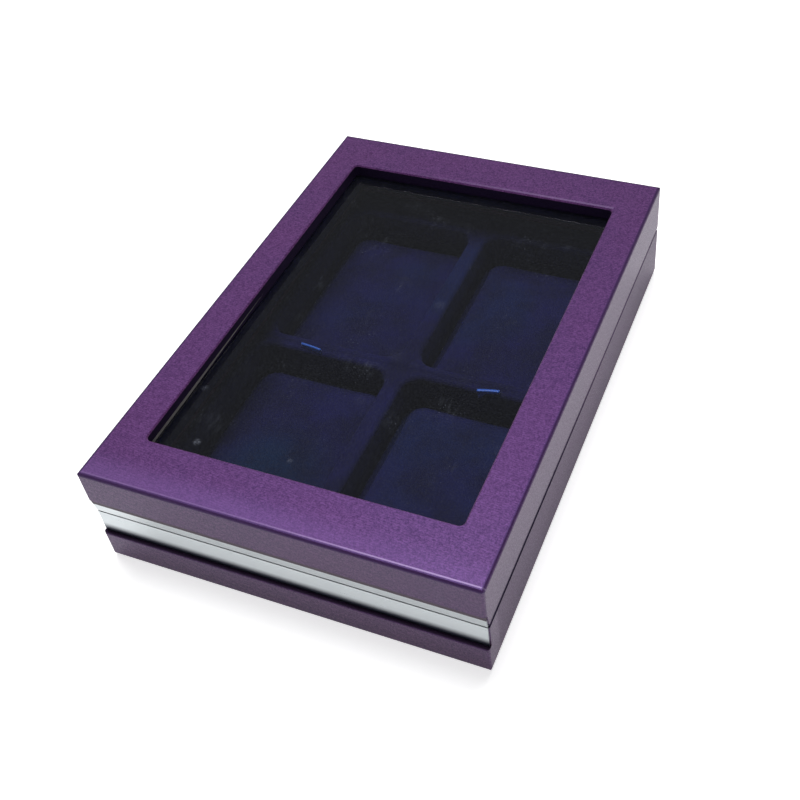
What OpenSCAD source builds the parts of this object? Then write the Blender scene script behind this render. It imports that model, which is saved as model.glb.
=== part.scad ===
// Cufflink display box: a paper-wrapped board case with a windowed lid on two
// butt hinges, and a velvet tray with four cushioned wells.
// Millimetres. X runs left to right, Y from front to back, Z up.
// The origin is at the centre of the underside, with the lid shut.

/* [Case] */
// Width of the closed box, left to right
box_w = 120; // [104:1:150]
// Depth of the closed box, front to back
box_d = 172.6; // [150:0.1:220]
// Height of the closed box, with the sheet under its base
box_h = 37.6; // [35:0.1:48]
// Height of the middle of the joint between base and lid
joint_z = 20.2; // [18.5:0.05:22]
// Gap that stays open at the joint when the lid is shut
joint_gap = 0.5; // [0.3:0.05:0.7]
// Thickness of the board in the side walls of both halves
side_wall_t = 7; // [6.5:0.1:9]
// Thickness of the board in the front and back walls of both halves
end_wall_t = 7; // [6.5:0.1:9]
// Radius of the lid's upper edges and of all upright edges
edge_r = 0.9; // [0.3:0.1:1.2]
// Radius of the edges around the base's foot
foot_r = 1.4; // [0.5:0.1:1.8]
// Radius of the edges along the joint
joint_r = 0.3; // [0.1:0.05:0.5]

/* [Lid] */
// Thickness of the window frame board
frame_t = 4.2; // [3:0.1:6]
// Width of the frame on the left of the window
frame_left = 11.7; // [10:0.1:16]
// Width of the frame on the right of the window
frame_right = 12.1; // [10:0.1:16]
// Width of the frame in front of the window
frame_front = 17.1; // [12:0.1:22]
// Width of the frame behind the window
frame_back = 17.2; // [12:0.1:22]
// Radius of the window's corners
window_r = 1.5; // [1:0.1:8]
// Softened edge around the top of the window
window_bevel = 0.4; // [0.2:0.1:0.8]
// Thickness of the clear pane
pane_t = 2; // [1:0.1:3]
// Play left around the pane
pane_play = 0.3; // [0.1:0.05:0.6]
// Radius of the pane's corners
pane_r = 1; // [0.3:0.1:3]
// Thickness of the frame that keeps the pane in
retainer_t = 1.6; // [1:0.1:2.5]
// How far the retainer stands back from the window's edge
retainer_setback = 1; // [0.5:0.1:2]
// Thickness of the lining inside the lid's walls
lining_t = 1; // [0.6:0.1:1.6]
// How far the lining stops above the lid's lower edge
lining_rise = 0.6; // [0.3:0.1:1.5]

/* [Front band] */
// Depth of the silver band behind the front face, from the joint down
band_recess = 1.1; // [1:0.1:2.2]
// Depth of the band's upper edge behind the front face
band_lip = 0.3; // [0.1:0.1:0.8]
// Height of the part of the band that is on the lid
lid_band_h = 5.7; // [3:0.1:7]
// Height of the base's foot, up to the ledge under the band
foot_h = 11.2; // [8:0.1:12.5]
// Radius of the ledge's front edge
ledge_r = 0.8; // [0.4:0.1:1]
// Thickness of the two band strips
band_t = 0.5; // [0.3:0.1:0.9]
// How far the strips stop short of the case's sides
band_inset = 0.4; // [0.2:0.1:1]

/* [Base] */
// Thickness of the sheet under the base
sheet_t = 0.4; // [0.3:0.1:1]
// How far the sheet stops inside the case's outline
sheet_inset = 2; // [1:0.5:5]
// Radius of the sheet's corners
sheet_r = 2; // [0.5:0.5:6]
// Thickness of the bottom panel
panel_t = 3; // [2:0.1:4]
// Diameter of the closing magnets
magnet_d = 3.6; // [3:0.1:4]
// Thickness of the closing magnets
magnet_t = 2; // [1.5:0.1:2.5]
// Distance of each magnet's middle from the case's side
magnet_inset = 20; // [14:1:40]
// Play around each magnet in its pocket
magnet_play = 0.1; // [0.05:0.05:0.2]

/* [Tray] */
// Play between the tray and the case's walls
tray_play = 0.25; // [0.15:0.05:0.6]
// Radius of the tray's outer corners
tray_r = 1; // [0.3:0.1:2]
// Depth of the tray's top below the joint's lower edge
tray_drop = 1.6; // [1:0.1:3]
// Thickness of the card floor under the tray
tray_floor_t = 1.6; // [1:0.1:2.5]
// Width of the two bars that cross in the tray
divider_w = 6; // [5:0.1:8]
// Width of the tray's rim at each side
rim_side = 2.7; // [2:0.1:5]
// Width of the tray's rim at the front
rim_front = 4.8; // [3:0.1:9]
// Width of the tray's rim at the back
rim_back = 11.8; // [6:0.1:14]
// Radius of the wells' corners
well_r = 6; // [3:0.5:10]
// Radius over the upper edges of rim and dividers
mouth_r = 1.5; // [0.5:0.1:1.8]

/* [Pads and ribbons] */
// Thickness of each pad in its middle
pad_t = 5; // [3.5:0.1:6.5]
// Thickness of each pad at its edge seam
pad_edge_t = 3; // [2:0.1:3.4]
// How far each pad's sides draw in between its corners
pad_draw = 0.8; // [0.3:0.1:1.6]
// Play between a pad and the walls of its well
pad_play = 0.4; // [0.3:0.05:1]
// Width of the pull ribbons
ribbon_w = 7.8; // [5:0.1:10]
// Thickness of the ribbon
ribbon_t = 0.45; // [0.3:0.05:0.5]
// Space between the two layers of a folded ribbon
ribbon_fold = 0.2; // [0.1:0.05:0.3]
// Height of the ribbon's fold above the divider
ribbon_rise = 1.4; // [0.8:0.1:3]
// Length of ribbon tucked into the divider
ribbon_tuck = 3; // [2:0.1:5]
// Distance of each ribbon's middle outside the middle of its wells
ribbon_shift = 4.4; // [0:0.1:10]
// Distance of the ribbons behind the divider's front face
ribbon_back = 1.3; // [1.2:0.1:2]
// Play around a ribbon in its slot
ribbon_play = 0.2; // [0.15:0.05:0.3]

/* [Hinges] */
// Length of each hinge
hinge_len = 24; // [18:0.5:32]
// Distance of each hinge's outer end from the case's side
hinge_inset = 13; // [8:0.5:20]
// Radius of the hinge's barrel
barrel_r = 1.6; // [1.4:0.05:1.8]
// Distance of the barrel inside the back face
barrel_inset = 0.1; // [0.05:0.05:0.3]
// Number of knuckles, an odd number
knuckles = 5; // [3:2:7]
// Gap between neighbouring knuckles
knuckle_gap = 0.16; // [0.1:0.02:0.3]
// Radius of the hinge pin
pin_r = 0.8; // [0.6:0.05:0.9]
// Play of the pin in the knuckles
pin_play = 0.05; // [0.02:0.01:0.09]
// Thickness of the leaves
leaf_t = 0.8; // [0.6:0.05:0.9]
// Width of the leaves, from the pin's axis
leaf_w = 4.8; // [4.4:0.1:5]
// Gap between the two leaves when the lid is shut
leaf_gap = 0.2; // [0.1:0.02:0.3]
// Angle of the stop bevels on the back edges, from level
stop_angle = 50; // [48:0.5:60]
// Play around the barrel in the walls
barrel_play = 0.25; // [0.2:0.05:0.4]
// Diameter of the screws' threaded part
screw_d = 1.4; // [1.2:0.1:1.5]
// Diameter of the screws' heads
screw_head_d = 2.6; // [2.3:0.1:2.7]
// Length of the screws under the leaf's face
screw_len = 6; // [4.5:0.1:8]
// Distance of each screw from the end of its leaf
screw_end = 5; // [4:0.5:6]
// Distance of the screws in front of the pin's axis
screw_y = 3.2; // [3.1:0.05:3.3]
// Height of the screws' pointed tips
screw_tip_h = 1.2; // [0.8:0.1:2]
// Diameter at the very tip
screw_tip_d = 0.3; // [0.2:0.05:0.6]
// Width of the cross slots in the screws' heads
slot_w = 0.4; // [0.3:0.05:0.6]
// Length of the cross slots
slot_len = 1.8; // [1.2:0.1:2.1]
// Depth of the cross slots
slot_depth = 0.35; // [0.2:0.05:0.5]
// Play around the screws in the leaves and walls
screw_play = 0.05; // [0.02:0.01:0.1]

/* [Hidden] */
$fn = 48;

// Colours of the finishes
purple = "#5f3c8c";
silver = "#c4c9ca";
indigo = "#232350";
satin_blue = "#2d63d8";
glass_tint = [0.75, 0.82, 0.85, 0.35];
nickel = "#b9b6ad";
black_felt = "#1c1b20";

// Extra length of a cut past the face that it opens
over = 1;

// Heights
base_z0 = sheet_t;
base_z1 = joint_z - joint_gap / 2;
lid_z0 = joint_z + joint_gap / 2;
frame_z0 = box_h - frame_t;
pane_z0 = frame_z0 - pane_t;
retainer_z0 = pane_z0 - retainer_t;
panel_z1 = base_z0 + panel_t;
tray_z1 = base_z1 - tray_drop;
well_z0 = panel_z1 + tray_floor_t;
band_z1 = lid_z0 + lid_band_h;

// Faces of the case
front_y = -box_d / 2;
back_y = box_d / 2;
side_x = box_w / 2;
room_x = side_x - side_wall_t;
room_y = back_y - end_wall_t;

// Window
window_w = box_w - frame_left - frame_right;
window_d = box_d - frame_front - frame_back;
window_x = (frame_left - frame_right) / 2;
window_y = (frame_front - frame_back) / 2;

// Tray and wells
tray_w = 2 * (room_x - tray_play);
tray_d = 2 * (room_y - tray_play);
well_w = (tray_w - 2 * rim_side - divider_w) / 2;
well_d = (tray_d - rim_front - rim_back - divider_w) / 2;
cross_y = -tray_d / 2 + rim_front + well_d + divider_w / 2;
well_x = (divider_w + well_w) / 2;
well_dy = (divider_w + well_d) / 2;
mouth_steps = 3;

// Ribbons
ribbon_x = well_x + ribbon_shift;
ribbon_y = cross_y - divider_w / 2 + ribbon_back;
ribbon_stack = 2 * ribbon_t + ribbon_fold;
ribbon_z0 = tray_z1 - ribbon_tuck;
ribbon_z1 = tray_z1 + ribbon_rise;

// Hinges
axis_y = back_y - barrel_inset - barrel_r;
leaf_z1 = joint_z - leaf_gap / 2;
leaf_z0 = leaf_z1 - leaf_t;
knuckle_pitch = hinge_len / knuckles;
hinge_x = side_x - hinge_inset - hinge_len / 2;
screw_span = hinge_len - 2 * screw_end;
magnet_y = front_y + end_wall_t
    - (end_wall_t - band_recess - band_t) / 2;

// A block between two opposite corners
module block(low, high) {
    translate(low) cube(high - low);
}

// A rectangle with round corners, centred
module round_rect(w, d, r) {
    square([w - 2 * r, d], center = true);
    square([w, d - 2 * r], center = true);
    for (x = [-1, 1], y = [-1, 1])
        translate([x * (w / 2 - r), y * (d / 2 - r)]) circle(r);
}

// An upright outline with one radius at its foot and one at its top
module upright_outline(w, z0, z1, low_r, top_r) {
    translate([-w / 2, z0 + low_r]) square([w, z1 - z0 - low_r - top_r]);
    translate([-w / 2 + low_r, z0]) square([w - 2 * low_r, 2 * low_r]);
    translate([-w / 2 + top_r, z1 - 2 * top_r])
        square([w - 2 * top_r, 2 * top_r]);
    for (side = [-1, 1]) {
        translate([side * (w / 2 - low_r), z0 + low_r]) circle(low_r);
        translate([side * (w / 2 - top_r), z1 - top_r]) circle(top_r);
    }
}

// An outline in Y and Z, drawn out along X about the middle
module along_x(length) {
    rotate([90, 0, 90]) linear_extrude(length, center = true) children();
}

// The outside of one half of the case, with its wrapped edges
module half_outside(z0, z1, low_r, top_r) {
    intersection() {
        translate([0, 0, z0]) linear_extrude(z1 - z0)
            round_rect(box_w, box_d, edge_r);
        along_x(box_w + 2 * over)
            upright_outline(box_d, z0, z1, low_r, top_r);
        rotate([90, 0, 0]) linear_extrude(box_d + 2 * over, center = true)
            upright_outline(box_w, z0, z1, low_r, top_r);
    }
}

module base_outside() {
    half_outside(base_z0, base_z1, foot_r, joint_r);
}

module lid_outside() {
    half_outside(lid_z0, box_h, joint_r, edge_r);
}

// A prism with round corners that widens by grow over its height
module flare(w, d, r, grow, h) {
    rotate([90, 0, 90]) linear_extrude(w - 2 * r, center = true)
        polygon([[-d / 2, 0], [d / 2, 0],
                 [d / 2 + grow, h], [-d / 2 - grow, h]]);
    rotate([90, 0, 0]) linear_extrude(d - 2 * r, center = true)
        polygon([[-w / 2, 0], [w / 2, 0],
                 [w / 2 + grow, h], [-w / 2 - grow, h]]);
    for (x = [-1, 1], y = [-1, 1])
        translate([x * (w / 2 - r), y * (d / 2 - r), 0])
            cylinder(h = h, r1 = r, r2 = r + grow);
}

// The hollow of one well, centred in plan. Its rounded mouth is a stack of
// flares, and the last of them runs on past the tray's top.
module well_hollow() {
    translate([0, 0, well_z0 - over])
        linear_extrude(tray_z1 - mouth_r - well_z0 + over)
            round_rect(well_w, well_d, well_r);
    for (i = [0 : mouth_steps - 1]) {
        a0 = 90 * i / mouth_steps;
        a1 = 90 * (i + 1) / mouth_steps;
        g0 = mouth_r * (1 - cos(a0));
        g1 = mouth_r * (1 - cos(a1));
        z0 = tray_z1 - mouth_r + mouth_r * sin(a0);
        rise = mouth_r * (sin(a1) - sin(a0));
        reach = i == mouth_steps - 1 ? (rise + over) / rise : 1;
        translate([0, 0, z0])
            flare(well_w + 2 * g0, well_d + 2 * g0, well_r + g0,
                  reach * (g1 - g0), reach * rise);
    }
}

// Lid

module lid_frame() {
    color(purple) difference() {
        intersection() {
            lid_outside();
            block([-side_x, front_y, frame_z0], [side_x, back_y, box_h]);
        }
        translate([window_x, window_y, frame_z0 - over])
            linear_extrude(frame_t + 2 * over)
                round_rect(window_w, window_d, window_r);
        translate([window_x, window_y, box_h - window_bevel])
            flare(window_w, window_d, window_r,
                  window_bevel + over, window_bevel + over);
    }
}

// The front wall's outline: a plain face above, drawn in behind the band
module lid_front_outline() {
    polygon([
        [front_y, frame_z0],
        [front_y, band_z1],
        [front_y + band_lip + band_t, band_z1],
        [front_y + band_recess + band_t, lid_z0],
        [front_y + end_wall_t, lid_z0],
        [front_y + end_wall_t, frame_z0]
    ]);
}

module lid_front_wall() {
    color(purple) difference() {
        intersection() {
            lid_outside();
            along_x(box_w) lid_front_outline();
        }
        magnet_pockets(lid_z0, lid_z0 + magnet_t, lid_z0 - over);
    }
}

// Behind the barrel the back edge is cut to a bevel: the lid's bevel meets
// the base's when the lid is open, and that is the stop
module lid_back_wall() {
    color(purple) difference() {
        intersection() {
            lid_outside();
            block([-side_x, room_y, lid_z0], [side_x, back_y, frame_z0]);
        }
        stop_bevel(1);
        for (side = [-1, 1])
            translate([side * hinge_x, 0, 0]) hinge_mortise(1);
        mirror([0, 0, 1]) translate([0, 0, -2 * joint_z])
            screw_holes(base_z1);
    }
}

module lid_side_wall(side) {
    intersection() {
        lid_outside();
        block([min(side * side_x, side * room_x), -room_y, lid_z0],
              [max(side * side_x, side * room_x), room_y, frame_z0]);
    }
}

module lid_left_wall() {
    color(purple) lid_side_wall(-1);
}

module lid_right_wall() {
    color(purple) lid_side_wall(1);
}

module lid_front_band() {
    color(silver) along_x(box_w - 2 * band_inset)
        polygon([
            [front_y + band_lip, band_z1],
            [front_y + band_recess, lid_z0],
            [front_y + band_recess + band_t, lid_z0],
            [front_y + band_lip + band_t, band_z1]
        ]);
}

module window_pane() {
    color(glass_tint) translate([0, 0, pane_z0]) linear_extrude(pane_t)
        round_rect(2 * (room_x - pane_play), 2 * (room_y - pane_play),
                   pane_r);
}

module pane_retainer() {
    color(indigo) difference() {
        block([-room_x, -room_y, retainer_z0], [room_x, room_y, pane_z0]);
        translate([window_x, window_y, retainer_z0 - over])
            linear_extrude(retainer_t + 2 * over)
                round_rect(window_w + 2 * retainer_setback,
                           window_d + 2 * retainer_setback,
                           window_r + retainer_setback);
    }
}

module lid_lining() {
    color(indigo) difference() {
        block([-room_x, -room_y, lid_z0 + lining_rise],
              [room_x, room_y, retainer_z0]);
        block([-room_x + lining_t, -room_y + lining_t, lid_z0],
              [room_x - lining_t, room_y - lining_t, retainer_z0 + over]);
    }
}

// Base

module base_panel() {
    color(black_felt)
        block([-room_x, -room_y, base_z0], [room_x, room_y, panel_z1]);
}

// The front wall's outline: a foot with a rounded ledge and a neck behind it
module base_front_outline() {
    neck_y = front_y + band_recess + band_t;
    inner_y = front_y + end_wall_t;
    translate([front_y, base_z0])
        square([end_wall_t, foot_h - ledge_r - base_z0]);
    translate([front_y + ledge_r, foot_h - 2 * ledge_r])
        square([end_wall_t - ledge_r, 2 * ledge_r]);
    translate([front_y + ledge_r, foot_h - ledge_r]) circle(ledge_r);
    translate([neck_y, foot_h - ledge_r])
        square([inner_y - neck_y, base_z1 - foot_h + ledge_r]);
}

module base_front_wall() {
    color(purple) difference() {
        intersection() {
            base_outside();
            along_x(box_w) base_front_outline();
        }
        magnet_pockets(base_z1 - magnet_t, base_z1, base_z1 + over);
    }
}

module base_back_wall() {
    color(purple) difference() {
        intersection() {
            base_outside();
            block([-side_x, room_y, base_z0], [side_x, back_y, base_z1]);
        }
        stop_bevel(-1);
        for (side = [-1, 1])
            translate([side * hinge_x, 0, 0]) hinge_mortise(-1);
        screw_holes(base_z1);
    }
}

module base_side_wall(side) {
    intersection() {
        base_outside();
        block([min(side * side_x, side * room_x), -room_y, base_z0],
              [max(side * side_x, side * room_x), room_y, base_z1]);
    }
}

module base_left_wall() {
    color(purple) base_side_wall(-1);
}

module base_right_wall() {
    color(purple) base_side_wall(1);
}

module base_front_band() {
    color(silver)
        block([-side_x + band_inset, front_y + band_recess, foot_h],
              [side_x - band_inset, front_y + band_recess + band_t, base_z1]);
}

module base_sheet() {
    color(black_felt) linear_extrude(sheet_t)
        round_rect(box_w - 2 * sheet_inset, box_d - 2 * sheet_inset,
                   sheet_r);
}

// Magnets in the front walls

module at_magnets() {
    for (side = [-1, 1])
        translate([side * (side_x - magnet_inset), magnet_y, 0]) children();
}

// Round pockets between two heights, cut on to open_z
module magnet_pockets(z0, z1, open_z) {
    low = min(z0, open_z);
    high = max(z1, open_z);
    at_magnets() translate([0, 0, low])
        cylinder(h = high - low, d = magnet_d + 2 * magnet_play);
}

module lid_magnets() {
    color(nickel) at_magnets() translate([0, 0, lid_z0])
        cylinder(h = magnet_t, d = magnet_d);
}

module base_magnets() {
    color(nickel) at_magnets() translate([0, 0, base_z1 - magnet_t])
        cylinder(h = magnet_t, d = magnet_d);
}

// Tray, pads and ribbons

module at_wells() {
    for (x = [-1, 1], y = [-1, 1])
        translate([x * well_x, cross_y + y * well_dy, 0]) children();
}

module tray_floor() {
    color(indigo) translate([0, 0, panel_z1]) linear_extrude(tray_floor_t)
        round_rect(tray_w, tray_d, tray_r);
}

module tray() {
    color(indigo) difference() {
        translate([0, 0, well_z0]) linear_extrude(tray_z1 - well_z0)
            round_rect(tray_w, tray_d, tray_r);
        at_wells() well_hollow();
        for (side = [-1, 1])
            translate([side * ribbon_x, ribbon_y, 0])
                block([-ribbon_w / 2 - ribbon_play,
                       -ribbon_stack / 2 - ribbon_play, ribbon_z0],
                      [ribbon_w / 2 + ribbon_play,
                       ribbon_stack / 2 + ribbon_play, tray_z1 + over]);
    }
}

// A pad is a stack of closed rings, from its seam at the foot to its crown.
// Each ring is a squarish oval whose sides draw in between the corners.
pad_w = well_w - 2 * pad_play;
pad_d = well_d - 2 * pad_play;
pad_points = 56;
pad_rings = 8;
// The outline is a superellipse. Its power keeps the pad's corners inside
// the well's round corners.
corner_cut = (1 - sqrt(0.5)) * (well_r + pad_draw) / (pad_w / 2);
pad_power = ln(0.5) / ln(1 - corner_cut);

// Point number i of a ring that is scaled to share of the full outline
function pad_point(i, share, z) =
    let (a = 360 * (i + 0.5) / pad_points,
         c = cos(a), s = sin(a),
         ux = sign(c) * pow(abs(c), 2 / pad_power),
         uy = sign(s) * pow(abs(s), 2 / pad_power),
         draw_x = pad_draw * (1 - uy * uy),
         draw_y = pad_draw * (1 - ux * ux))
    [share * ux * (pad_w / 2 - draw_x),
     share * uy * (pad_d / 2 - draw_y), z];

// Height of the crown at a share of the way from middle to edge
function crown_z(share) =
    pad_edge_t + (pad_t - pad_edge_t) * (1 - pow(share, 2.5));

// Share and height of each ring: foot, belly, edge, then the crown
pad_stations = concat(
    [[0.975, 0], [1, 0.3 * pad_edge_t], [0.995, 0.7 * pad_edge_t]],
    [for (k = [0 : pad_rings - 1])
        let (s = 0.97 * (1 - k / pad_rings)) [s, crown_z(s)]]
);

module pad_solid() {
    n = pad_points;
    rings = len(pad_stations);
    ring_points = [for (st = pad_stations, i = [0 : n - 1])
        pad_point(i, st[0], st[1])];
    points = concat(ring_points, [[0, 0, 0], [0, 0, pad_t]]);
    foot = n * rings;
    sides = [for (k = [0 : rings - 2], i = [0 : n - 1], half = [0, 1])
        let (a = k * n + i, b = k * n + (i + 1) % n)
        half == 0 ? [a, a + n, b] : [b, a + n, b + n]];
    under = [for (i = [0 : n - 1]) [foot, i, (i + 1) % n]];
    top = [for (i = [0 : n - 1])
        [foot + 1, (rings - 1) * n + (i + 1) % n, (rings - 1) * n + i]];
    polyhedron(points, concat(sides, under, top), convexity = 4);
}

module pad(x_side, y_side) {
    translate([x_side * well_x, cross_y + y_side * well_dy, well_z0])
        pad_solid();
}

module front_left_pad() {
    color(indigo) pad(-1, -1);
}

module front_right_pad() {
    color(indigo) pad(1, -1);
}

module back_left_pad() {
    color(indigo) pad(-1, 1);
}

module back_right_pad() {
    color(indigo) pad(1, 1);
}

// A ribbon folded over once, with its two ends tucked into the divider
module ribbon(side) {
    fold_r = ribbon_stack / 2;
    translate([side * ribbon_x, ribbon_y, 0]) along_x(ribbon_w)
        difference() {
            union() {
                translate([-fold_r, ribbon_z0])
                    square([2 * fold_r, ribbon_z1 - fold_r - ribbon_z0]);
                translate([0, ribbon_z1 - fold_r]) circle(fold_r);
            }
            translate([-ribbon_fold / 2, ribbon_z0 - over])
                square([ribbon_fold, ribbon_z1 - fold_r - ribbon_z0 + over]);
        }
}

module left_ribbon() {
    color(satin_blue) ribbon(-1);
}

module right_ribbon() {
    color(satin_blue) ribbon(1);
}

// Hinges. half is 1 on the lid and -1 on the base.

// The wedge cut away behind the hinge's axis
module stop_bevel(half) {
    reach = back_y + over - axis_y;
    translate([0, axis_y, joint_z]) along_x(box_w + 2 * over)
        polygon([[0, 0], [reach, half * reach * tan(stop_angle)],
                 [reach, -half * over], [0, -half * over]]);
}

// A cylinder along the hinge's axis between two places
module on_axis(x0, x1, r) {
    translate([x0, axis_y, joint_z]) rotate([0, 90, 0])
        cylinder(h = x1 - x0, r = r);
}

// Room for a leaf and for the whole barrel in one wall
module hinge_mortise(half) {
    seat_z = joint_z + half * (leaf_gap / 2 + leaf_t);
    block([-hinge_len / 2 - barrel_play, axis_y - leaf_w - barrel_play,
           min(seat_z, joint_z)],
          [hinge_len / 2 + barrel_play, axis_y, max(seat_z, joint_z)]);
    on_axis(-hinge_len / 2 - barrel_play, hinge_len / 2 + barrel_play,
            barrel_r + barrel_play);
}

// Whether knuckle number i belongs to the given half
function own_knuckle(i, half) = (i % 2 == 0) == (half == -1);

function knuckle_x(i) = -hinge_len / 2 + i * knuckle_pitch;

// A leaf with its knuckles, drawn for the base and turned over for the lid
module hinge_leaf(half) {
    difference() {
        union() {
            block([-hinge_len / 2, axis_y - leaf_w, leaf_z0],
                  [hinge_len / 2, axis_y, leaf_z1]);
            for (i = [0 : knuckles - 1])
                if (own_knuckle(i, half))
                    on_axis(knuckle_x(i), knuckle_x(i + 1), barrel_r);
        }
        for (i = [0 : knuckles - 1])
            if (!own_knuckle(i, half))
                on_axis(knuckle_x(i) - knuckle_gap,
                        knuckle_x(i + 1) + knuckle_gap,
                        barrel_r + barrel_play);
        on_axis(-hinge_len, hinge_len, pin_r + pin_play);
        for (side = [-1, 1])
            translate([side * screw_span / 2, axis_y - screw_y, leaf_z1])
                rotate([180, 0, 0]) countersink();
    }
}

module turned_over() {
    translate([0, 0, 2 * joint_z]) mirror([0, 0, 1]) children();
}

module base_leaf(side) {
    translate([side * hinge_x, 0, 0]) hinge_leaf(-1);
}

module lid_leaf(side) {
    translate([side * hinge_x, 0, 0]) turned_over() hinge_leaf(1);
}

module left_hinge_base_leaf() {
    color(nickel) base_leaf(-1);
}

module right_hinge_base_leaf() {
    color(nickel) base_leaf(1);
}

module left_hinge_lid_leaf() {
    color(nickel) lid_leaf(-1);
}

module right_hinge_lid_leaf() {
    color(nickel) lid_leaf(1);
}

module hinge_pin(side) {
    translate([side * hinge_x, 0, 0])
        on_axis(-hinge_len / 2, hinge_len / 2, pin_r);
}

module left_hinge_pin() {
    color(nickel) hinge_pin(-1);
}

module right_hinge_pin() {
    color(nickel) hinge_pin(1);
}

// Screws, drawn head down along +Z from the leaf's face
head_h = (screw_head_d - screw_d) / 2;

module countersink() {
    translate([0, 0, -over])
        cylinder(h = over, d = screw_head_d + 2 * screw_play);
    cylinder(h = head_h, d1 = screw_head_d + 2 * screw_play,
             d2 = screw_d + 2 * screw_play);
    cylinder(h = leaf_t + over, d = screw_d + 2 * screw_play);
}

module screw() {
    difference() {
        union() {
            cylinder(h = head_h, d1 = screw_head_d, d2 = screw_d);
            cylinder(h = screw_len - screw_tip_h, d = screw_d);
            translate([0, 0, screw_len - screw_tip_h])
                cylinder(h = screw_tip_h, d1 = screw_d, d2 = screw_tip_d);
        }
        for (turn = [0, 90])
            rotate([0, 0, turn])
                block([-slot_len / 2, -slot_w / 2, -over],
                      [slot_len / 2, slot_w / 2, slot_depth]);
    }
}

module at_screws() {
    for (hinge = [-1, 1], side = [-1, 1])
        translate([hinge * hinge_x + side * screw_span / 2,
                   axis_y - screw_y, leaf_z1])
            rotate([180, 0, 0]) children();
}

// Pilot holes in a wall, from the leaf's seat down
module screw_holes(top_z) {
    at_screws() translate([0, 0, leaf_z1 - top_z])
        cylinder(h = screw_len + top_z - leaf_z1 + screw_play,
                 d = screw_d + 2 * screw_play);
}

module base_hinge_screws() {
    color(nickel) at_screws() screw();
}

module lid_hinge_screws() {
    color(nickel) turned_over() at_screws() screw();
}

lid_frame();
lid_front_wall();
lid_back_wall();
lid_left_wall();
lid_right_wall();
lid_front_band();
window_pane();
pane_retainer();
lid_lining();
lid_magnets();
left_hinge_lid_leaf();
right_hinge_lid_leaf();
lid_hinge_screws();
base_panel();
base_front_wall();
base_back_wall();
base_left_wall();
base_right_wall();
base_front_band();
base_sheet();
base_magnets();
tray_floor();
tray();
front_left_pad();
front_right_pad();
back_left_pad();
back_right_pad();
left_ribbon();
right_ribbon();
left_hinge_base_leaf();
right_hinge_base_leaf();
left_hinge_pin();
right_hinge_pin();
base_hinge_screws();
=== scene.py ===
"""Dresses a packed cufflink display box in pearly purple paper, with a clear window and a velvet tray.

The case, its lid and its hinges come from the frame and only get their finishes here. The velvet tray,
the four pads and the two ribbon tabs are modelled in this script, in the places of their plain solids.
All lengths are in metres. X runs left to right, Y front to back, Z up.
"""

import logging
import math
from dataclasses import dataclass, field
from enum import Enum
from typing import Iterable, Sequence

import bmesh
import bpy
from mathutils import Matrix, Quaternion, Vector

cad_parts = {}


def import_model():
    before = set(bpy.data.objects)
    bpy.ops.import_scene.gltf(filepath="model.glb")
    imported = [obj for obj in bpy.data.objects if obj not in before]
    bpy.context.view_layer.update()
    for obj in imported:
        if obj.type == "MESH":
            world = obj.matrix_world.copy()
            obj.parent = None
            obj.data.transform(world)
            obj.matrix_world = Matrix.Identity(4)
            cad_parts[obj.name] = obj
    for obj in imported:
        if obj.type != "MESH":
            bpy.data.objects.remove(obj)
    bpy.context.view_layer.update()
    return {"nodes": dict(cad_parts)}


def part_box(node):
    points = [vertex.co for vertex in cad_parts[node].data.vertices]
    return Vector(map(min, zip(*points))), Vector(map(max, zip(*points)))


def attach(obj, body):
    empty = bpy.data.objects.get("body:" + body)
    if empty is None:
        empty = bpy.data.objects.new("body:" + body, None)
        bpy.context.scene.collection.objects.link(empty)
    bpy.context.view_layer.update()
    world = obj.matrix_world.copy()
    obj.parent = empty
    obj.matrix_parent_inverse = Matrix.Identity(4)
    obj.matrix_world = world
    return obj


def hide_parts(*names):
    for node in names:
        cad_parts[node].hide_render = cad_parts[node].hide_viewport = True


MM = 0.001
WELD = 0.002 * MM
UPRIGHT_UP_TO = 0.35
LEVEL_FROM = 0.75
SPOT_CORE = 0.2
LOG = logging.getLogger("display_box")

Point = tuple[float, float, float]
Colour = tuple[float, float, float]


class Axis(Enum):
    """An axis of the box."""

    X = 0
    Y = 1
    Z = 2


class Half(Enum):
    """The two halves of the case, by the names of their bodies."""

    BASE = "base"
    LID = "lid"


def linear(red: int, green: int, blue: int) -> Colour:
    """Turns an sRGB colour of 0 to 255 into the linear values that shaders use.

    Args:
        red: Red, 0 to 255.
        green: Green, 0 to 255.
        blue: Blue, 0 to 255.

    Returns:
        The three linear values, 0 to 1.
    """
    shares = (channel / 255 for channel in (red, green, blue))
    return tuple(s / 12.92 if s <= 0.04045 else ((s + 0.055) / 1.055) ** 2.4 for s in shares)


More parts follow.
